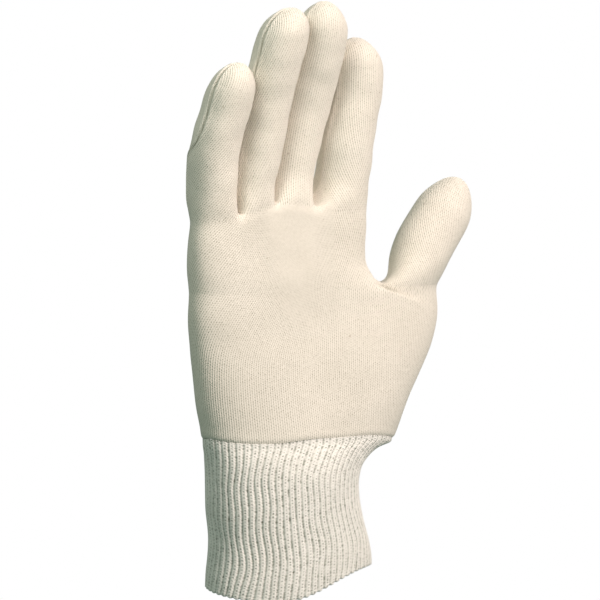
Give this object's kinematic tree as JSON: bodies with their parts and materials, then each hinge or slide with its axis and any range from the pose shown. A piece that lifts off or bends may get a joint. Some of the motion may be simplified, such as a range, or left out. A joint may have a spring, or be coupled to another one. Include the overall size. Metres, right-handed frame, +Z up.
{
  "type": "knitted work glove",
  "caption": "Cream cotton knit work glove with a ribbed knit wrist, held open as if worn, fingers up.",
  "frame": {"origin": "middle of the cuff's open mouth, where the wrist goes in", "axes": "+Z up the hand to the fingertips, +X towards the thumb, the palm faces -Y"},
  "size_m": [0.1434, 0.052, 0.2573],
  "materials": {
    "cotton_knit": "matt interlock knit",
    "rib_knit": "matt ribbed knit"
  },
  "bodies": {
    "root": {"palm_panel": "cotton_knit", "middle_fingers_panel": "cotton_knit", "back_panel": "cotton_knit", "thumb": "cotton_knit", "wrist_cuff": "rib_knit"}
  },
  "joints": []
}
